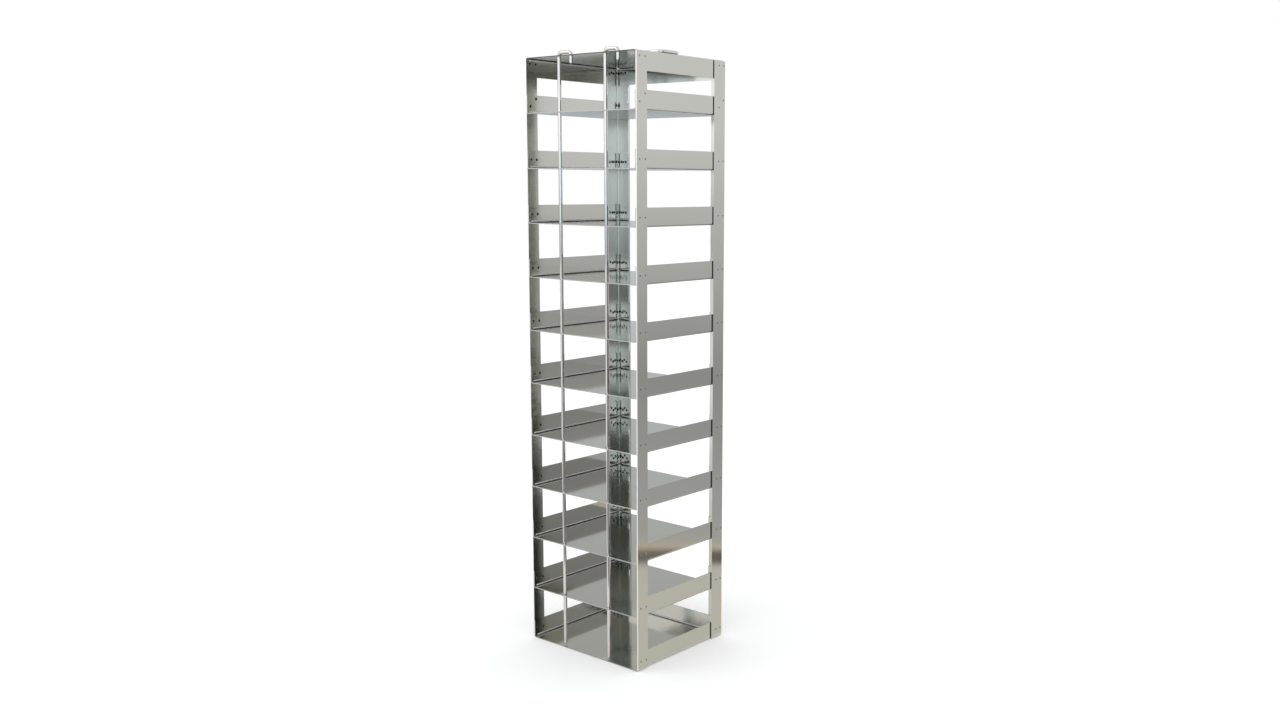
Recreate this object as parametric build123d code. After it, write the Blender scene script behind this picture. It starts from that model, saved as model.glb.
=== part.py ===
from build123d import *
import os

os.makedirs("parts", exist_ok=True)

# ---------------------------------------------------------------------------
# Upright freezer storage rack: folded sheet trays between four spot-welded
# posts, two drop-in locking rods at the open front, a fold-down bail on top.
# Millimetres. Origin at the bottom centre, +Z up, open front towards -Y.
# ---------------------------------------------------------------------------

# Overall
RACK_W = 157.5        # outside the posts, along X
RACK_D = 138.0        # front edges to the back faces of the posts, along Y
LEVELS = 11           # compartments, the bottom tray's included
PITCH = 57.15         # one compartment, floor to floor

# Folded sheet
SHEET = 1.0           # trays, shelves and cap
FLANGE_H = 19.5       # outside height of every turned edge
BEND_R = 1.0          # inside radius of a fold
CORNER_SIDE = 5.1     # notch at a back corner, measured from the side
CORNER_BACK = 2.7     # and from the back
RELIEF_W = 1.5        # slot beside a back ear's fold
RELIEF_D = 3.0

# Posts
POST_T = 1.2
FRONT_POST_W = 15.0
ANGLE_LEG = 19.0      # both legs of a back post
ANGLE_BEND_R = 1.0    # inside radius
POST_INSET = 1.0      # posts stop this far inside the top and bottom faces
POST_CORNER_R = 0.8

# Locking rods
ROD_D = 4.0
ROD_CLEAR = 0.5       # radial play in the holes
ROD_X = 32.8          # each rod from the centre line
ROD_SETBACK = 4.6     # behind the front edge
ROD_FLOOR_GAP = 1.8   # tip above the tray
ROD_HOOK = 17.5       # long leg to short leg
ROD_HOOK_R = 4.0      # bend radius on the centre line
ROD_TAIL = 8.5        # short leg's reach below the cap's top face
ROD_TIP = 0.7         # chamfer on both ends

# Bail handle
WIRE_D = 3.5
PLAY = 0.3            # moving parts from what they rest on
BAIL_W = 147.0        # over the wire's centre line
BAIL_REACH = 26.0
BAIL_R = 6.0
CLIP_X = 45.0
CLIP_W = 14.0
CLIP_T = 1.0
CLIP_FOOT = 7.0
CLIP_FILLET = 0.6

# Derived places
CAP_TOP = LEVELS * PITCH
TRAY_W = RACK_W - 2 * POST_T
FRONT = -RACK_D / 2
BACK = RACK_D / 2 - POST_T
SIDE = TRAY_W / 2
ROD_Y = FRONT + ROD_SETBACK
HOLE_R = ROD_D / 2 + ROD_CLEAR
BEND_OUT = BEND_R + SHEET
EAR_FROM = SIDE - CORNER_SIDE
EAR_TO = RACK_W / 2 - ANGLE_LEG
WIRE_Z = CAP_TOP + PLAY + WIRE_D / 2


def block(x0, x1, y0, y1, z0, z1):
    """Box from its six limits."""
    return Pos((x0 + x1) / 2, (y0 + y1) / 2, (z0 + z1) / 2) * Box(
        abs(x1 - x0), abs(y1 - y0), abs(z1 - z0)
    )


def channel(width, height, wall, bend):
    """Closed outline of a U folded from sheet: flat base, two turned edges."""
    outer = Rectangle(width, height, align=(Align.CENTER, Align.MIN))
    outer = fillet(outer.vertices().group_by(Axis.Y)[0], bend + wall)
    inner = Pos(0, wall) * Rectangle(width - 2 * wall, height, align=(Align.CENTER, Align.MIN))
    inner = fillet(inner.vertices().group_by(Axis.Y)[0], bend)
    return outer - inner


def angle(leg_a, leg_b, wall, bend):
    """Closed outline of an L folded from sheet, its outside corner at 0, 0."""
    outer = Rectangle(leg_a, leg_b, align=(Align.MIN, Align.MIN))
    outer = fillet(outer.vertices().sort_by(lambda v: v.X + v.Y)[0], bend + wall)
    inner = Pos(wall, wall) * Rectangle(leg_a, leg_b, align=(Align.MIN, Align.MIN))
    inner = fillet(inner.vertices().sort_by(lambda v: v.X + v.Y)[0], bend)
    return outer - inner


def back_fold(x0, x1):
    """Turned-up edge along the back of a tray, from x0 to x1."""
    run = BEND_OUT + 1.0
    section = angle(run, FLANGE_H, SHEET, BEND_R)
    # Local X runs forwards from the back face, local Y runs up.
    plane = Plane(origin=(x1, BACK, 0), x_dir=(0, -1, 0), z_dir=(-1, 0, 0))
    return extrude(plane * section, x1 - x0)


def folded_tray(full_back):
    """Tray standing on z = 0 with its edges turned up; the front stays open."""
    run = BEND_OUT + 1.0
    section = channel(TRAY_W, FLANGE_H, SHEET, BEND_R)
    plane = Plane(origin=(0, FRONT, 0), x_dir=(1, 0, 0), z_dir=(0, -1, 0))
    tray = extrude(plane * section, -(BACK - FRONT))
    for s in (-1, 1):
        tray -= block(s * EAR_FROM, s * (SIDE + 1), BACK - CORNER_BACK, BACK + 1, -1, FLANGE_H + 1)
    spans = [(-EAR_FROM, EAR_FROM)] if full_back else [(-EAR_FROM, -EAR_TO), (EAR_TO, EAR_FROM)]
    for x0, x1 in spans:
        tray -= block(x0, x1, BACK - run, BACK + 1, -1, FLANGE_H + 1)
        tray += back_fold(x0, x1)
    if not full_back:
        for s in (-1, 1):
            tray -= block(s * EAR_TO, s * (EAR_TO - RELIEF_W), BACK - RELIEF_D, BACK + 1, -1, SHEET + 1)
    return tray


def rod_hole(x):
    return Pos(x, ROD_Y, 0) * Cylinder(HOLE_R, 6 * SHEET)


def floor_z(level):
    """Underside of level 0 (the tray) to LEVELS (the cap)."""
    return level * PITCH


# ---------------------------------------------------------------------------
# Trays, shelves and cap
# ---------------------------------------------------------------------------
nodes = {}
nodes["bottom_tray"] = folded_tray(True)

shelf = folded_tray(False)
for side in (-1, 1):
    shelf -= rod_hole(side * ROD_X)
for n in range(1, LEVELS):
    nodes[f"shelf_{n:02d}"] = Pos(0, 0, floor_z(LEVELS - n)) * shelf

cap = folded_tray(True)
for side in (-1, 1):
    cap -= rod_hole(side * ROD_X)
    cap -= rod_hole(side * ROD_X + ROD_HOOK)
nodes["top_cap"] = Pos(0, 0, CAP_TOP) * mirror(cap, about=Plane.XY)

# ---------------------------------------------------------------------------
# Posts
# ---------------------------------------------------------------------------
POST_LOW = POST_INSET
POST_HIGH = CAP_TOP - POST_INSET


def front_post(s):
    """Flat strip on the outside of the turned edges; s is the side of X."""
    post = block(s * SIDE, s * RACK_W / 2, FRONT, FRONT + FRONT_POST_W, POST_LOW, POST_HIGH)
    return fillet(post.edges().filter_by(Axis.X), POST_CORNER_R)


def back_post(s):
    """Folded angle that wraps a back corner; s is the side of X."""
    section = angle(ANGLE_LEG, ANGLE_LEG, POST_T, ANGLE_BEND_R)
    section = mirror(section, about=Plane.YZ) if s > 0 else section
    section = mirror(section, about=Plane.XZ)
    corner = Pos(s * RACK_W / 2, RACK_D / 2, POST_LOW) * section
    return extrude(corner, POST_HIGH - POST_LOW, dir=(0, 0, 1))


nodes["left_front_post"] = front_post(-1)
nodes["right_front_post"] = front_post(1)
nodes["left_back_post"] = back_post(-1)
nodes["right_back_post"] = back_post(1)

# ---------------------------------------------------------------------------
# Locking rods: long leg, bend, short bridge, bend, short leg
# ---------------------------------------------------------------------------
# The hook hangs by the inside of its bends on the rims of the cap's holes, PLAY clear of them.
ROD_SEAT_DROP = max(
    0.0, (ROD_HOOK_R - ROD_D / 2) ** 2 - (ROD_HOOK_R - HOLE_R + PLAY) ** 2
) ** 0.5
ROD_TOP = CAP_TOP + ROD_HOOK_R - ROD_SEAT_DROP
ROD_FOOT = SHEET + ROD_FLOOR_GAP


def locking_rod(x):
    path = FilletPolyline(
        (x, ROD_Y, ROD_FOOT),
        (x, ROD_Y, ROD_TOP),
        (x + ROD_HOOK, ROD_Y, ROD_TOP),
        (x + ROD_HOOK, ROD_Y, CAP_TOP - ROD_TAIL),
        radius=ROD_HOOK_R,
    )
    face = Plane(origin=(x, ROD_Y, ROD_FOOT), z_dir=(0, 0, 1)) * Circle(ROD_D / 2)
    rod = sweep(face, path=path)
    tips = rod.edges().filter_by(GeomType.CIRCLE).filter_by(
        lambda e: abs(e.radius - ROD_D / 2) < 1e-6 and abs(e.center().Z - ROD_FOOT) < 1e-3
        or abs(e.radius - ROD_D / 2) < 1e-6 and abs(e.center().Z - CAP_TOP + ROD_TAIL) < 1e-3
    )
    return chamfer(tips, ROD_TIP)


nodes["locking_rod_left"] = locking_rod(-ROD_X)
nodes["locking_rod_right"] = locking_rod(ROD_X)

# ---------------------------------------------------------------------------
# Bail: one closed wire loop folded down towards the front, and its two clips
# ---------------------------------------------------------------------------
loop = Plane(origin=(0, -BAIL_REACH / 2, WIRE_Z)) * RectangleRounded(BAIL_W, BAIL_REACH, BAIL_R)
wire_path = loop.wire() if hasattr(loop, "wire") else loop.wires()[0]
start = Plane(origin=(0, 0, WIRE_Z), z_dir=(1, 0, 0)) * Circle(WIRE_D / 2)
nodes["bail_handle"] = sweep(start, path=wire_path)


def bail_clip(x):
    """Saddle strap over the bail's pivot wire, its feet flat on the cap."""
    r_in = WIRE_D / 2 + PLAY
    r_out = r_in + CLIP_T
    up = WIRE_Z - CAP_TOP
    half = r_out + CLIP_FOOT
    feet = Rectangle(2 * half, CLIP_T, align=(Align.CENTER, Align.MIN))
    hump = Rectangle(2 * r_out, up, align=(Align.CENTER, Align.MIN)) + Pos(0, up) * Circle(r_out)
    outline = feet + hump
    corners = outline.vertices().filter_by(
        lambda v: abs(abs(v.X) - r_out) < 1e-4 and abs(v.Y - CLIP_T) < 1e-4
    )
    outline = fillet(corners, CLIP_FILLET)
    outline -= Rectangle(2 * r_in, up, align=(Align.CENTER, Align.MIN)) + Pos(0, up) * Circle(r_in)
    outline -= Rectangle(4 * half, 10, align=(Align.CENTER, Align.MAX))
    plane = Plane(origin=(x - CLIP_W / 2, 0, CAP_TOP), x_dir=(0, 1, 0), z_dir=(1, 0, 0))
    return extrude(plane * outline, CLIP_W)


nodes["bail_clip_left"] = bail_clip(-CLIP_X)
nodes["bail_clip_right"] = bail_clip(CLIP_X)

for name, shape in nodes.items():
    solids = shape.solids() if hasattr(shape, "solids") else [shape]
    if len(solids) != 1:
        print("note", name, "solids", len(solids))
    out = solids[0] if len(solids) == 1 else Compound(children=list(solids))
    out.label = name
    export_step(out, f"parts/{name}.step")
    box = out.bounding_box()
    print(name, round(out.volume, 1), box.min, box.max)
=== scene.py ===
import math

import bmesh
import bpy
from mathutils import Matrix, Vector


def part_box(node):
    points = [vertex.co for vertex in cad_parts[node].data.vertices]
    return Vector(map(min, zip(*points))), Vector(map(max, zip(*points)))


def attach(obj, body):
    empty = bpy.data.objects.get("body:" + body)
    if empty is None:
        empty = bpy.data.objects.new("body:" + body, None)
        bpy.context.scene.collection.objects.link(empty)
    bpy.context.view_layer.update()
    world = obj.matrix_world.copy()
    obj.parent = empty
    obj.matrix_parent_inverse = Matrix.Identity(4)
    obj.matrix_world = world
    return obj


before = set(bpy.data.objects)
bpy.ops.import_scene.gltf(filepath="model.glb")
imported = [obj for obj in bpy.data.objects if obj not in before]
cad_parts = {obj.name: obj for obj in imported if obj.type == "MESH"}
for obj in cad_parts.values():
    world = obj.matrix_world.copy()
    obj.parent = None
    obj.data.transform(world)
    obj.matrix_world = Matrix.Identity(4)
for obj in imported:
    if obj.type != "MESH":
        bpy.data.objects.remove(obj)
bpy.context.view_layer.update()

bl_info = {
    "name": "Freezer Storage Rack",
    "version": (1, 0, 0),
    "blender": (4, 5, 0),
    "location": "3D View > Sidebar > Rack",
    "description": "Finishes a folded-sheet freezer rack: steel, weld marks, seams and stage",
    "category": "Object",
}

# Places taken from the loaded frame, in metres
LEVELS = 11
RIGHT_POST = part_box("right_front_post")
BACK_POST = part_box("right_back_post")
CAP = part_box("top_cap")
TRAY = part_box("bottom_tray")
PITCH = CAP[1][2] / LEVELS
FLANGE_H = TRAY[1][2] - TRAY[0][2]
POST_T = RIGHT_POST[1][0] - RIGHT_POST[0][0]
ANGLE_LEG = BACK_POST[1][0] - BACK_POST[0][0]
OUTER_X = RIGHT_POST[1][0]
FLANGE_X = TRAY[1][0]
FRONT_Y = TRAY[0][1]
BACK_Y = TRAY[1][1]
OUTER_Y = BACK_POST[1][1]
SHEET_T = 0.001
BEND_R = 0.001          # inside radius of a fold
EDGE_DEPTH = 0.0001     # how far in from the front the painted edge tone (painted edge highlight and shade) reaches
CORNER_NOTCH = 0.0051   # notch at a back corner, measured from the side
EAR_FROM = FLANGE_X - CORNER_NOTCH
EAR_TO = OUTER_X - ANGLE_LEG

STEEL_NODES = [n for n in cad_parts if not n.startswith(("locking_rod", "bail_handle"))]
WIRE_NODES = [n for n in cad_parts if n.startswith(("locking_rod", "bail_handle"))]


# ---------------------------------------------------------------------------
# Small helpers
# ---------------------------------------------------------------------------
def clear_selection():
    """Leave edit mode and select nothing."""
    if bpy.context.object and bpy.context.object.mode != "OBJECT":
        bpy.ops.object.mode_set(mode="OBJECT")
    bpy.ops.object.select_all(action="DESELECT")


def pick_only(obj):
    """Make one object the only one selected, and the active one."""
    clear_selection()
    obj.select_set(True)
    bpy.context.view_layer.objects.active = obj


def settle(obj):
    """Put the object's place in its mesh, so its origin sits at the world's."""
    pick_only(obj)
    bpy.ops.object.transform_apply(location=True, rotation=True, scale=True)


def join_as(pieces, name):
    """Join the pieces into one object with its origin at the world's."""
    clear_selection()
    for piece in pieces:
        piece.select_set(True)
    bpy.context.view_layer.objects.active = pieces[0]
    bpy.ops.object.join()
    joined = bpy.context.object
    joined.name = name
    joined.data.name = name
    settle(joined)
    return joined


def copy_at(source, matrix):
    """A copy with its own mesh, already carried to its place."""
    twin = source.copy()
    twin.data = source.data.copy()
    twin.data.transform(matrix)
    bpy.context.collection.objects.link(twin)
    return twin


def wear(obj, material):
    """Give an object one material and no other."""
    obj.data.materials.clear()
    obj.data.materials.append(material)


def node_object(name):
    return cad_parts[name]


# ---------------------------------------------------------------------------
# Materials
# ---------------------------------------------------------------------------
NOISE_LOW, NOISE_HIGH = 0.3, 0.7     # where nearly all of the noise's values lie
GRAIN_SCALE, CLOUD_SCALE = 900.0, 9.0
GRAIN_DRAW = 0.04                    # the grain's frequency along its direction
EVEN = (1.0, 1.0, 1.0)               # a noise that isn't drawn out
ROUGH_LOW, ROUGH_HIGH, ROUGH_CUT = 0.08, 0.13, 0.34
WAVE_STRENGTH = 0.04
HAIR_STRENGTH, HAIR_DEPTH = 0.02, 0.00005


class Graph:
    """Short way to add and link shader nodes."""

    def __init__(self, name):
        self.material = bpy.data.materials.new(name)
        self.material.use_nodes = True
        self.tree = self.material.node_tree
        self.tree.nodes.clear()
        self.out = self.add("ShaderNodeOutputMaterial")

    def add(self, kind, **values):
        node = self.tree.nodes.new(kind)
        for key, value in values.items():
            if hasattr(node, key):
                setattr(node, key, value)
            else:
                node.inputs[key.replace("_", " ")].default_value = value
        return node

    def link(self, source, target):
        self.tree.links.new(source, target)


def grain(graph, scale, stretch, detail=3.0):
    """Noise on the object's own coordinates, drawn out along one direction."""
    where = graph.add("ShaderNodeTexCoord")
    mapping = graph.add("ShaderNodeMapping")
    mapping.inputs["Scale"].default_value = stretch
    noise = graph.add("ShaderNodeTexNoise")
    noise.inputs["Scale"].default_value = scale
    noise.inputs["Detail"].default_value = detail
    graph.link(where.outputs["Object"], mapping.inputs["Vector"])
    graph.link(mapping.outputs["Vector"], noise.inputs["Vector"])
    return noise


def map_range(graph, source, start, end, low=0.0, high=1.0):
    """Map the run from start to end onto low to high; low may be a socket."""
    node = graph.add("ShaderNodeMapRange")
    node.inputs["From Min"].default_value = start
    node.inputs["From Max"].default_value = end
    if isinstance(low, float):
        node.inputs["To Min"].default_value = low
    else:
        graph.link(low, node.inputs["To Min"])
    node.inputs["To Max"].default_value = high
    graph.link(source, node.inputs["Value"])
    return node.outputs["Result"]


def spread(graph, noise, low, high):
    """Map a noise's values to the range low to high."""
    return map_range(graph, noise.outputs["Fac"], NOISE_LOW, NOISE_HIGH, low, high)


def colour_mix(graph, factor):
    """Mix of two colours: both inputs and the result."""
    node = graph.add("ShaderNodeMix", data_type="RGBA")
    graph.link(factor, node.inputs["Factor"])
    first, second = (socket for socket in node.inputs if socket.type == "RGBA")
    result = next(socket for socket in node.outputs if socket.type == "RGBA")
    return first, second, result


def tint(graph, noise, colour, down, up):
    """A colour that the noise breaks up, between its down and up shares."""
    first, second, result = colour_mix(graph, noise.outputs["Fac"])
    first.default_value = (*(c * down for c in colour), 1.0)
    second.default_value = (*(min(1.0, c * up) for c in colour), 1.0)
    return result


def sheared_and_painted_edge(graph):
    """1 on the cut edges at the rack's open front, where their rougher finish and painted edge
    tone go, 0 everywhere else.
    """
    where = graph.add("ShaderNodeTexCoord")
    split = graph.add("ShaderNodeSeparateXYZ")
    graph.link(where.outputs["Object"], split.inputs["Vector"])
    past = FRONT_Y + EDGE_DEPTH
    return map_range(graph, split.outputs["Y"], past, past + EDGE_DEPTH * 0.5, 1.0, 0.0)


def bump(graph, noise, strength, depth):
    """Bump that raises the surface with a noise."""
    node = graph.add("ShaderNodeBump")
    node.inputs["Strength"].default_value = strength
    node.inputs["Distance"].default_value = depth
    graph.link(noise.outputs["Fac"], node.inputs["Height"])
    return node


def mill_steel(name, colour, painted_edge_tone, wave_depth, grain_axis):
    """Rolled stainless sheet: soft mirror with faint rolling grain and gentle waviness; its front
    cut edges get a flat painted tone standing in for the edge's highlight and shade.
    """
    graph = Graph(name)
    shader = graph.add("ShaderNodeBsdfPrincipled")
    shader.inputs["Metallic"].default_value = 1.0
    stretch = tuple(GRAIN_DRAW if axis == grain_axis else 1.0 for axis in "xyz")
    lines = grain(graph, GRAIN_SCALE, stretch, 4.0)
    clouds = grain(graph, CLOUD_SCALE, EVEN, 0.0)
    cut = sheared_and_painted_edge(graph)
    rolled, edge, skin = colour_mix(graph, cut)
    graph.link(tint(graph, clouds, colour, 0.965, 1.03), rolled)
    # Painted light: the front cut edges get a flat tone in place of the highlight and shade that
    # light gives them.
    edge.default_value = (*painted_edge_tone, 1.0)
    graph.link(skin, shader.inputs["Base Color"])
    rough = spread(graph, lines, ROUGH_LOW, ROUGH_HIGH)
    graph.link(map_range(graph, cut, 0.0, 1.0, rough, ROUGH_CUT), shader.inputs["Roughness"])
    waves = bump(graph, clouds, WAVE_STRENGTH, wave_depth)
    hairs = bump(graph, lines, HAIR_STRENGTH, HAIR_DEPTH)
    graph.link(waves.outputs["Normal"], hairs.inputs["Normal"])
    graph.link(hairs.outputs["Normal"], shader.inputs["Normal"])
    graph.link(shader.outputs["BSDF"], graph.out.inputs["Surface"])
    return graph.material


def plain_finish(name, colour, metallic, roughness, scale):
    """Small parts' finish: one colour broken up by fine noise."""
    graph = Graph(name)
    shader = graph.add("ShaderNodeBsdfPrincipled")
    shader.inputs["Metallic"].default_value = metallic
    specks = grain(graph, scale, EVEN)
    graph.link(tint(graph, specks, colour, 0.85, 1.1), shader.inputs["Base Color"])
    worn = spread(graph, specks, roughness * 0.8, roughness * 1.2)
    graph.link(worn, shader.inputs["Roughness"])
    graph.link(shader.outputs["BSDF"], graph.out.inputs["Surface"])
    return graph.material


# ---------------------------------------------------------------------------
# Settings a user would change
# ---------------------------------------------------------------------------
class RackSizes(bpy.types.PropertyGroup):
    weld_mark: bpy.props.FloatProperty(
        name="Weld mark", description="Diameter of a spot weld's mark",
        default=0.0025, min=0.001, max=0.005, subtype="DISTANCE", unit="LENGTH")
    weld_core: bpy.props.FloatProperty(
        name="Weld core", description="Diameter of the dark core of a weld mark",
        default=0.0022, min=0.0005, max=0.004, subtype="DISTANCE", unit="LENGTH")
    # A seam is a dark bar of painted shadow beside a post; this sets how far it stands off the
    # post's edge.
    seam_width: bpy.props.FloatProperty(
        name="Seam width", description="How far the dark seam beside a post stands off its edge",
        default=0.0004, min=0.0001, max=0.002, subtype="DISTANCE", unit="LENGTH")


class RackColours(bpy.types.PropertyGroup):
    sheet: bpy.props.FloatVectorProperty(
        name="Sheet", description="Mill-finish sheet steel",
        default=(0.555, 0.553, 0.52), min=0.0, max=1.0, size=3, subtype="COLOR")
    wire: bpy.props.FloatVectorProperty(
        name="Wire", description="Bright wire of the rods and the bail",
        default=(0.64, 0.615, 0.60), min=0.0, max=1.0, size=3, subtype="COLOR")
    weld: bpy.props.FloatVectorProperty(
        name="Weld", description="Burnt core of a spot weld",
        default=(0.03, 0.027, 0.024), min=0.0, max=1.0, size=3, subtype="COLOR")
    floor: bpy.props.FloatVectorProperty(
        name="Floor", description="Studio floor",
        default=(0.97, 0.965, 0.955), min=0.0, max=1.0, size=3, subtype="COLOR")


# ---------------------------------------------------------------------------
# Steel
# ---------------------------------------------------------------------------
class RACK_OT_steel(bpy.types.Operator):
    """Give the folded sheets and posts their mill finish"""
    bl_idname = "rack.steel"
    bl_label = "Sheet Steel"

    def execute(self, context):
        colour = tuple(context.scene.rack_colours.sheet)
        # Edge tones are painted light: the post's 0.80 is a painted highlight, the cap's 0.10 is
        # painted shade, and the sheet's 0.44 sits midway between its edges' highlight and shade.
        sheet = mill_steel("mill_sheet", colour, (0.44, 0.44, 0.42), 0.003, "y")
        cap = mill_steel("mill_cap", colour, (0.10, 0.10, 0.095), 0.002, "y")
        post = mill_steel("mill_post", colour, (0.80, 0.80, 0.78), 0.0007, "z")
        for name in STEEL_NODES:
            finish = post if name.endswith("post") else cap if name == "top_cap" else sheet
            wear(node_object(name), finish)
        return {"FINISHED"}


class RACK_OT_wire(bpy.types.Operator):
    """Give the locking rods and the bail their bright wire finish"""
    bl_idname = "rack.wire"
    bl_label = "Bright Wire"

    def execute(self, context):
        colour = tuple(context.scene.rack_colours.wire)
        bright = plain_finish("bright_wire", colour, 1.0, 0.05, 400.0)
        for name in WIRE_NODES:
            wear(node_object(name), bright)
        return {"FINISHED"}


# ---------------------------------------------------------------------------
# Spot welds
# ---------------------------------------------------------------------------
# Each pair's distances from the edge it is measured from
FRONT_WELDS = (0.0045, 0.0124)
SIDE_WELDS = (0.0076, 0.0150)
BACK_WELDS = (0.0082, 0.0146)
TOP_SHELF_RISE = (0.0, 0.0079)   # the top shelf's second weld stands higher
TOP_SHELF_DROP = 0.0018          # and its row a little lower
CAP_WELD_DROP = 0.0059
WELD_LIFT = 0.00003              # marks stand this far off the steel
RING_RISE, RING_FALL, CORE_FALL = 0.00006, 0.00002, 0.00003


def weld_rows():
    """Height of each row of welds, and how far each of its pair stands above that."""
    even = (0.0, 0.0)
    rows = [(level * PITCH + FLANGE_H / 2, even) for level in range(LEVELS - 1)]
    rows.append(((LEVELS - 1) * PITCH + FLANGE_H / 2 - TOP_SHELF_DROP, TOP_SHELF_RISE))
    rows.append((CAP[1][2] - CAP_WELD_DROP, even))
    return rows


def weld_mark(mark, core):
    """One round mark facing +Z: a low ring round a sunken dark core."""
    clear_selection()
    bpy.ops.mesh.primitive_circle_add(
        vertices=12, radius=mark / 2, fill_type="NGON", location=(0, 0, 0))
    obj = bpy.context.object
    ring = (mark - core) / 4
    bpy.ops.object.mode_set(mode="EDIT")
    bpy.ops.mesh.select_all(action="SELECT")
    bpy.ops.mesh.inset(thickness=ring, depth=RING_RISE)
    bpy.ops.mesh.inset(thickness=ring, depth=-RING_FALL)
    bpy.ops.mesh.inset(thickness=core / 4, depth=-CORE_FALL)
    bpy.ops.object.mode_set(mode="OBJECT")
    return obj


def facing(x, y, z, normal):
    """Matrix that stands a +Z mark on a wall at a point, looking along normal."""
    turn = Vector((0, 0, 1)).rotation_difference(Vector(normal)).to_matrix().to_4x4()
    return Matrix.Translation((x, y, z)) @ turn


def weld_places():
    """Every weld, outside on the posts and inside on the turned edges."""
    inner_y = BACK_Y - SHEET_T - WELD_LIFT
    outside, inside = [], []
    for z, rises in weld_rows():
        for side in (-1, 1):
            pairs = [(FRONT_Y + y, rise) for y, rise in zip(FRONT_WELDS, rises)]
            pairs += [(OUTER_Y - ANGLE_LEG + y, rise) for y, rise in zip(SIDE_WELDS, rises)]
            outer_x = side * (OUTER_X + WELD_LIFT)
            inner_x = side * (FLANGE_X - SHEET_T - WELD_LIFT)
            for y, rise in pairs:
                outside.append(facing(outer_x, y, z + rise, (side, 0, 0)))
                inside.append(facing(inner_x, y, z + rise, (-side, 0, 0)))
            for inset in BACK_WELDS:
                x = side * (OUTER_X - inset)
                outside.append(facing(x, OUTER_Y + WELD_LIFT, z, (0, 1, 0)))
                inside.append(facing(x, inner_y, z, (0, -1, 0)))
    return outside, inside


class RACK_OT_welds(bpy.types.Operator):
    """Set the spot-weld marks on the posts and the turned edges"""
    bl_idname = "rack.welds"
    bl_label = "Spot Welds"

    def execute(self, context):
        sizes = context.scene.rack_sizes
        colours = context.scene.rack_colours
        rim = plain_finish("weld_rim", tuple(colours.sheet), 1.0, 0.3, 3000.0)
        burnt = plain_finish("weld_burn", tuple(colours.weld), 0.6, 0.5, 3000.0)
        pressed = plain_finish("weld_press", (0.14, 0.135, 0.125), 0.8, 0.4, 3000.0)
        outside, inside = weld_places()
        rows = (
            ("weld_marks_outside", outside, sizes.weld_mark, sizes.weld_core * 0.8, pressed),
            ("weld_marks_inside", inside, sizes.weld_mark * 1.3, sizes.weld_core * 1.27, burnt),
        )
        for name, places, size, core, heart in rows:
            pattern = weld_mark(size, core)
            pattern.data.materials.append(rim)
            pattern.data.materials.append(heart)
            for face in pattern.data.polygons:
                face.material_index = 1 if face.center.xy.length < core / 2 else 0
            marks = join_as([copy_at(pattern, m) for m in places], name)
            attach(marks, "rack")
            bpy.data.objects.remove(pattern)
        return {"FINISHED"}


# ---------------------------------------------------------------------------
# Bend lines: a painted highlight and painted shade along each inner bend
# ---------------------------------------------------------------------------
SKIN = 0.00002            # bend lines lie this far off the steel
SIDE_SHORT = 0.0062       # how much shorter than a sheet its side lines are
CREASE_SHADE_TOP = BEND_R * 0.8   # the painted crease shade ends here, at the latest


def bend_steps(floor_reach, shade_top, line_top):
    """(inward, up) steps over the floor, round the fold and up the wall."""
    return [
        (floor_reach, SKIN), (BEND_R, SKIN), (BEND_R * 0.3 + SKIN, BEND_R * 0.3 + SKIN),
        (SKIN, shade_top), (SKIN, line_top),
    ]


def bend_strip(length, steps):
    """Narrow strip along Y through (inward, up) steps, its faces turned to the open side."""
    clear_selection()
    bpy.ops.mesh.primitive_plane_add(size=1.0, location=(0, 0, 0))
    obj = bpy.context.object
    corners = sorted(obj.data.vertices, key=lambda v: (v.co.x, v.co.y))
    places = [(x, y * length, z) for x, z in steps[:2] for y in (0.5, -0.5)]
    for vertex, place in zip(corners, places):
        vertex.co = Vector(place)
    bpy.ops.object.mode_set(mode="EDIT")
    for (xa, za), (xb, zb) in zip(steps[1:], steps[2:]):
        mesh = bmesh.from_edit_mesh(obj.data)
        for part in (*mesh.verts, *mesh.edges, *mesh.faces):
            part.select = False
        for edge in mesh.edges:
            if all(abs(v.co.x - xa) < 1e-6 and abs(v.co.z - za) < 1e-6 for v in edge.verts):
                edge.select = True
        mesh.select_flush_mode()
        bmesh.update_edit_mesh(obj.data)
        step = (xb - xa, 0.0, zb - za)
        bpy.ops.mesh.extrude_region_move(TRANSFORM_OT_translate={"value": step})
    bpy.ops.object.mode_set(mode="OBJECT")
    return obj


def line_at(strip, place, turn, hung):
    """A strip turned about Z and carried to its place, upside down where it is hung."""
    flip = Matrix.Rotation(math.pi if hung else 0.0, 4, "X")
    return copy_at(strip, Matrix.Translation(place) @ Matrix.Rotation(turn, 4, "Z") @ flip)


def side_lines(strip, floor_z, hung=False):
    """The bend lines of both turned sides of a sheet; the cap's are hung."""
    wall_x = FLANGE_X - SHEET_T
    middle_y = (FRONT_Y + BACK_Y) / 2
    return [
        line_at(strip, (-wall_x, middle_y, floor_z), 0.0, hung),
        line_at(strip, (wall_x, middle_y, floor_z), math.pi, hung),
    ]


def back_lines(strip, floor_z, centres, hung=False):
    """The bend line of a turned back, one copy at each place across it."""
    wall_y = BACK_Y - SHEET_T
    return [line_at(strip, (x, wall_y, floor_z), -math.pi / 2, hung) for x in centres]


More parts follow.
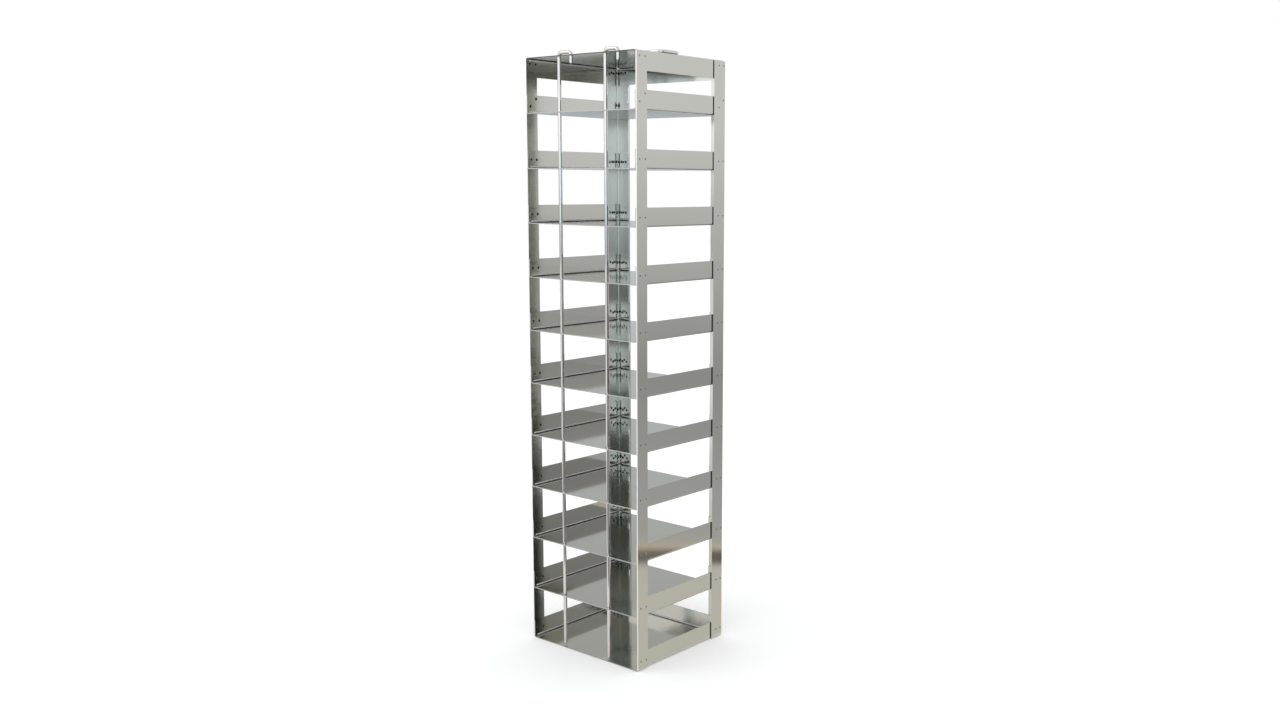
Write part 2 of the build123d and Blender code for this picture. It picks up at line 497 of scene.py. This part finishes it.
class RACK_OT_bends(bpy.types.Operator):
    """Draw a painted highlight line and a painted shade line along each inner bend"""
    bl_idname = "rack.bends"
    bl_label = "Bend Lines"

    def execute(self, context):
        # Painted light: the near-black root strip is painted shade in the crease, and the
        # near-white strip above it is a painted highlight along the bend.
        crease_shade = plain_finish("painted_crease_shade", (0.055, 0.052, 0.048), 0.3, 0.5, 2500.0)
        crease_highlight = plain_finish("painted_crease_highlight", (0.99, 0.98, 0.96), 0.0, 0.35, 2500.0)
        steps = bend_steps(0.0014, CREASE_SHADE_TOP, BEND_R * 2.1)
        back_steps = bend_steps(0.0011, BEND_R * 0.5, BEND_R * 1.7)
        strips = [
            bend_strip(BACK_Y - FRONT_Y - SIDE_SHORT, steps),
            bend_strip(EAR_FROM - EAR_TO, steps),
            bend_strip(2 * EAR_FROM, back_steps),
        ]
        for strip in strips:
            strip.data.materials.append(crease_shade)
            strip.data.materials.append(crease_highlight)
            for face in strip.data.polygons:
                face.material_index = 1 if face.center.z > CREASE_SHADE_TOP else 0
        side, ear, full = strips
        ear_middle = (EAR_FROM + EAR_TO) / 2
        lines = back_lines(full, SHEET_T, (0.0,))
        for level in range(LEVELS):
            floor_z = level * PITCH + SHEET_T
            lines += side_lines(side, floor_z)
            if level:
                lines += back_lines(ear, floor_z, (-ear_middle, ear_middle))
        roof = CAP[1][2] - SHEET_T
        hung = side_lines(side, roof, hung=True) + back_lines(full, roof, (0.0,), hung=True)
        for pieces, name in ((lines, "painted_crease_lines"), (hung, "cap_painted_crease_lines")):
            joined = join_as(pieces, name)
            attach(joined, "rack")
        for strip in strips:
            bpy.data.objects.remove(strip)
        return {"FINISHED"}


# ---------------------------------------------------------------------------
# Painted shadow seams beside the posts
# ---------------------------------------------------------------------------
SEAM_T = POST_T * 0.45       # thickness of a seam's bar
SEAM_X = FLANGE_X + POST_T * 0.24
SEAM_SHORT = 0.0012          # how much shorter than a turned edge it is
SEAM_FOOT, CAP_SEAM_FOOT = 0.001, 0.0002
SEAM_BEVEL = 0.08            # share of the bar's unit cube


def seam_bar(width, depth, height):
    """Upright bar with its ends and edges eased, standing on the origin."""
    clear_selection()
    bpy.ops.mesh.primitive_cube_add(size=1.0, location=(0, 0, 0.5))
    obj = bpy.context.object
    bpy.ops.object.mode_set(mode="EDIT")
    bpy.ops.mesh.select_all(action="SELECT")
    bpy.ops.mesh.bevel(offset=SEAM_BEVEL, segments=1, affect="EDGES")
    bpy.ops.object.mode_set(mode="OBJECT")
    settle(obj)
    obj.scale = (width, depth, height)
    settle(obj)
    return obj


class RACK_OT_seams(bpy.types.Operator):
    """Set dark bars of painted shadow where each turned edge runs in behind a post"""
    bl_idname = "rack.seams"
    bl_label = "Post Seams"

    def execute(self, context):
        gap = context.scene.rack_sizes.seam_width
        # Painted shadow: a near-black bar stands where the turned edge meets the post, in place of
        # the crevice's shade and its reflection.
        dark = plain_finish("seam_shadow", (0.012, 0.012, 0.011), 0.0, 0.6, 2000.0)
        bar = seam_bar(SEAM_T, gap, FLANGE_H - SEAM_SHORT)
        y = OUTER_Y - ANGLE_LEG - gap / 2
        feet = [level * PITCH + SEAM_FOOT for level in range(LEVELS)]
        feet.append(CAP[1][2] - FLANGE_H + CAP_SEAM_FOOT)
        places = [Matrix.Translation((side * SEAM_X, y, z)) for z in feet for side in (-1, 1)]
        seams = join_as([copy_at(bar, m) for m in places], "post_seam_shadows")
        wear(seams, dark)
        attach(seams, "rack")
        bpy.data.objects.remove(bar)
        return {"FINISHED"}


# ---------------------------------------------------------------------------
# Stage
# ---------------------------------------------------------------------------
CAMERA_PLACE = (0.902289, -0.956533, 0.501991)
CAMERA_RIGHT = (0.78428047, 0.62035305, 0.00813863)
CAMERA_UP = (-0.09250862, 0.1039622, 0.99026967)
CAMERA_AHEAD = (-0.6134707, 0.77740206, -0.13892353)
FOCAL_SHARE = 1224.174 / 1280.0
SHIFT = (-0.07373, -0.00487)
SENSOR_MM = 36.0
FLOOR_SIDE = 14.0
FLOOR_LIFT = 0.14            # the floor's own glow, seen and mirrored, lighting nothing matt
CARD_FOOT, CARD_RISE = 0.004, 0.003   # standing and lying cards' height over the floor


def seen_rays(tree):
    """A value of 1 on camera, glossy and transmission rays and 0 on the others."""
    path = tree.nodes.new("ShaderNodeLightPath")
    first, second = tree.nodes.new("ShaderNodeMath"), tree.nodes.new("ShaderNodeMath")
    first.operation = second.operation = "MAXIMUM"
    tree.links.new(path.outputs["Is Camera Ray"], first.inputs[0])
    tree.links.new(path.outputs["Is Glossy Ray"], first.inputs[1])
    tree.links.new(first.outputs[0], second.inputs[0])
    tree.links.new(path.outputs["Is Transmission Ray"], second.inputs[1])
    return second.outputs[0]


def studio_floor(colour):
    """White paper floor, wide enough for every view."""
    clear_selection()
    bpy.ops.mesh.primitive_plane_add(size=1.0, location=(0, 0, 0))
    floor = bpy.context.object
    floor.name = "studio_floor"
    floor.scale = (FLOOR_SIDE, FLOOR_SIDE, 1.0)
    settle(floor)
    graph = Graph("studio_paper")
    shader = graph.add("ShaderNodeBsdfPrincipled")
    shader.inputs["Roughness"].default_value = 0.9
    shader.inputs["Specular IOR Level"].default_value = 0.1
    fibres = grain(graph, 3.0, EVEN, 2.0)
    graph.link(tint(graph, fibres, colour, 0.995, 1.0), shader.inputs["Base Color"])
    lift = graph.add("ShaderNodeEmission")
    lift.inputs["Strength"].default_value = FLOOR_LIFT
    nothing = graph.add("ShaderNodeEmission")
    nothing.inputs["Strength"].default_value = 0.0
    seen = graph.add("ShaderNodeMixShader")
    graph.link(seen_rays(graph.tree), seen.inputs["Fac"])
    graph.link(nothing.outputs["Emission"], seen.inputs[1])
    graph.link(lift.outputs["Emission"], seen.inputs[2])
    total = graph.add("ShaderNodeAddShader")
    graph.link(shader.outputs["BSDF"], total.inputs[0])
    graph.link(seen.outputs["Shader"], total.inputs[1])
    graph.link(total.outputs["Shader"], graph.out.inputs["Surface"])
    wear(floor, graph.material)


def studio_world(level):
    """White surroundings: level is the strength that lights matt surfaces."""
    world = bpy.data.worlds.new("studio_world")
    bpy.context.scene.world = world
    world.use_nodes = True
    tree = world.node_tree
    tree.nodes.clear()
    out = tree.nodes.new("ShaderNodeOutputWorld")
    lit = tree.nodes.new("ShaderNodeBackground")
    lit.inputs["Color"].default_value = (0.97, 0.985, 1.0, 1.0)
    lit.inputs["Strength"].default_value = level
    seen = tree.nodes.new("ShaderNodeBackground")
    seen.inputs["Color"].default_value = (1.0, 1.0, 1.0, 1.0)
    seen.inputs["Strength"].default_value = 1.0
    mix = tree.nodes.new("ShaderNodeMixShader")
    tree.links.new(seen_rays(tree), mix.inputs["Fac"])
    tree.links.new(lit.outputs[0], mix.inputs[1])
    tree.links.new(seen.outputs[0], mix.inputs[2])
    tree.links.new(mix.outputs[0], out.inputs["Surface"])


def softbox(name, place, aim, size, power):
    """White area lamp turned towards a point."""
    clear_selection()
    bpy.ops.object.light_add(type="AREA", location=place)
    lamp = bpy.context.object
    lamp.name = name
    lamp.data.shape = "RECTANGLE"
    lamp.data.size, lamp.data.size_y = size
    lamp.data.energy = power
    lamp.rotation_euler = (Vector(aim) - Vector(place)).to_track_quat("-Z", "Y").to_euler()


def studio_card(name, corners, bands, axis=(0.0, 0.0, 1.0)):
    """Card that only the steel reflects. bands: (metres along axis, colour) from low to high."""
    clear_selection()
    bpy.ops.mesh.primitive_plane_add(size=1.0, location=(0, 0, 0))
    card = bpy.context.object
    card.name = name
    loop_order = [card.data.vertices[i] for i in card.data.polygons[0].vertices]
    for vertex, corner in zip(loop_order, corners):
        vertex.co = Vector(corner)
    graph = Graph(name + "_cloth")
    glow = graph.add("ShaderNodeEmission")
    where = graph.add("ShaderNodeTexCoord")
    measure = graph.add("ShaderNodeVectorMath", operation="DOT_PRODUCT")
    measure.inputs[1].default_value = axis
    ramp = graph.add("ShaderNodeValToRGB")
    graph.link(where.outputs["Object"], measure.inputs[0])
    low, high = bands[0][0], bands[-1][0]
    graph.link(map_range(graph, measure.outputs["Value"], low, high), ramp.inputs["Fac"])
    stops = ramp.color_ramp.elements
    while len(stops) < len(bands):
        stops.new(0.5)
    for stop, (level, colour) in zip(stops, bands):
        stop.position = (level - low) / (high - low)
        stop.color = (*colour, 1.0)
    graph.link(ramp.outputs["Color"], glow.inputs["Color"])
    graph.link(glow.outputs["Emission"], graph.out.inputs["Surface"])
    wear(card, graph.material)
    card.visible_camera = False
    card.visible_diffuse = False
    card.visible_shadow = False


def bearing_axes(bearing):
    """Unit vectors ahead and across for a bearing in degrees from +Y towards +X."""
    turn = math.radians(bearing)
    ahead = Vector((math.sin(turn), math.cos(turn), 0.0))
    return ahead, Vector((ahead.y, -ahead.x, 0.0))


def upright_card(name, bearing, distance, across, high, bands):
    """Standing card square to a bearing; across is its (left, right) reach from the middle."""
    ahead, along = bearing_axes(bearing)
    centre = ahead * distance
    left, right = centre + along * across[0], centre + along * across[1]
    foot, head = Vector((0, 0, CARD_FOOT)), Vector((0, 0, high))
    studio_card(name, [left + foot, right + foot, right + head, left + head], bands)


def flat_card(name, bearing, across, bands):
    """Card just over the floor; bands: (metres out along the bearing, colour) from near to far."""
    ahead, along = bearing_axes(bearing)
    near, far = ahead * bands[0][0], ahead * bands[-1][0]
    left, right, rise = along * across[0], along * across[1], Vector((0, 0, CARD_RISE))
    corners = [near + left + rise, near + right + rise, far + right + rise, far + left + rise]
    studio_card(name, corners, bands, axis=tuple(ahead))


def grey(level):
    return (level, level, level)


def studio_cards():
    """What the steel mirrors: bands of height for the walls, of distance for the floor."""
    upright_card(
        "card_back_right", 38.0, 0.33, (-0.7, 0.8), 1.6,
        [(0.0, (0.80, 0.775, 0.70)), (0.008, (0.78, 0.75, 0.67)), (0.012, (0.16, 0.14, 0.11)),
         (0.025, (0.18, 0.16, 0.13)), (0.028, (1.0, 0.90, 0.72)), (0.036, (0.66, 0.62, 0.54)),
         (0.050, grey(0.575)), (0.11, grey(0.54)), (0.18, grey(0.485)), (0.255, grey(0.445)),
         (0.334, grey(0.555)), (0.41, grey(0.70)), (0.485, grey(0.81)), (0.57, grey(0.94)),
         (1.6, grey(1.0))],
    )
    near, far = OUTER_X + 0.001, OUTER_X + 0.34
    corners = [(near, -0.09), (far, -0.09), (far, 0.42), (near, 0.42)]
    warm = (0.80, 0.775, 0.70)
    studio_card(
        "card_right_floor", [(x, y, CARD_RISE) for x, y in corners], [(0.0, warm), (0.01, warm)],
    )
    upright_card(
        "card_back_left", -38.0, 5.0, (-5.0, 5.0), 4.0,
        [(0.0, grey(0.12)), (0.21, (0.13, 0.145, 0.15)), (0.34, (0.62, 0.68, 0.72)),
         (0.72, (0.58, 0.63, 0.65)),
         (1.1, (0.60, 0.635, 0.64)), (1.8, (0.57, 0.58, 0.565)), (2.2, (0.48, 0.48, 0.46)),
         (4.0, (0.55, 0.55, 0.53))],
    )
    upright_card(
        "card_camera_side", 142.0, 6.0, (-3.2, 3.2), 4.0,
        [(0.0, (0.60, 0.68, 0.72)), (0.10, (0.74, 0.86, 0.93)), (0.39, (1.40, 1.60, 1.76)),
         (0.70, (1.62, 1.84, 2.02)), (4.0, (1.62, 1.84, 2.02))],
    )
    flat_card(
        "card_camera_floor", 142.0, (-0.8, 0.8),
        [(0.30, grey(0.38)), (0.95, (0.35, 0.37, 0.38)), (1.15, (0.33, 0.36, 0.38)),
         (1.8, (0.33, 0.37, 0.39)), (2.4, (0.40, 0.45, 0.47)), (3.6, (0.30, 0.33, 0.35)),
         (6.0, (0.46, 0.52, 0.56))],
    )
    upright_card(
        "card_front_left", 218.0, 6.0, (-3.2, 3.2), 4.0,
        [(0.0, (0.62, 0.66, 0.68)), (0.12, (0.58, 0.64, 0.66)), (0.45, (0.95, 1.0, 1.02)),
         (0.8, (1.5, 1.5, 1.5)), (4.0, (1.5, 1.5, 1.5))],
    )
    low, high = grey(0.05), grey(0.08)
    upright_card("card_right", 98.0, 1.6, (-0.7, 0.7), 2.0, [(0.0, low), (2.0, high)])
    upright_card("card_left", 275.0, 1.3, (-0.45, 0.45), 1.6, [(0.0, low), (1.6, high)])


class RACK_OT_stage(bpy.types.Operator):
    """Set the floor, the lamps and the camera"""
    bl_idname = "rack.stage"
    bl_label = "Stage"

    def execute(self, context):
        studio_floor(tuple(context.scene.rack_colours.floor))
        studio_world(1.0)
        softbox("key_light", (-1.2, -1.4, 1.8), (0, 0, 0.35), (1.2, 1.2), 5.0)
        studio_cards()
        clear_selection()
        bpy.ops.object.camera_add(location=CAMERA_PLACE)
        camera = bpy.context.object
        camera.name = "photo_camera"
        basis = Matrix((CAMERA_RIGHT, CAMERA_UP, tuple(-v for v in CAMERA_AHEAD))).transposed()
        camera.matrix_world = Matrix.Translation(CAMERA_PLACE) @ basis.to_4x4()
        camera.data.sensor_width = SENSOR_MM
        camera.data.lens = FOCAL_SHARE * SENSOR_MM
        camera.data.shift_x, camera.data.shift_y = SHIFT
        camera.data.clip_start = 0.02
        camera.data.clip_end = 50.0
        context.scene.camera = camera
        context.scene.view_settings.view_transform = "Standard"
        return {"FINISHED"}


class RACK_PT_panel(bpy.types.Panel):
    """Lists the rack's steps in the order they run"""
    bl_label = "Freezer Rack"
    bl_idname = "RACK_PT_panel"
    bl_space_type = "VIEW_3D"
    bl_region_type = "UI"
    bl_category = "Rack"

    def draw(self, context):
        layout = self.layout
        for operator in OPERATORS:
            layout.operator(operator.bl_idname)
        for group in (context.scene.rack_sizes, context.scene.rack_colours):
            column = layout.column(align=True)
            for key in group.__annotations__:
                column.prop(group, key)


OPERATORS = (
    RACK_OT_steel, RACK_OT_wire, RACK_OT_welds, RACK_OT_bends, RACK_OT_seams, RACK_OT_stage,
)
CLASSES = (RackSizes, RackColours, *OPERATORS, RACK_PT_panel)


def register():
    for cls in CLASSES:
        bpy.utils.register_class(cls)
    bpy.types.Scene.rack_sizes = bpy.props.PointerProperty(type=RackSizes)
    bpy.types.Scene.rack_colours = bpy.props.PointerProperty(type=RackColours)


def unregister():
    del bpy.types.Scene.rack_colours
    del bpy.types.Scene.rack_sizes
    for cls in reversed(CLASSES):
        bpy.utils.unregister_class(cls)


def main():
    register()
    bpy.ops.rack.steel()
    bpy.ops.rack.wire()
    bpy.ops.rack.welds()
    bpy.ops.rack.bends()
    bpy.ops.rack.seams()
    bpy.ops.rack.stage()


if __name__ == "__main__":
    main()
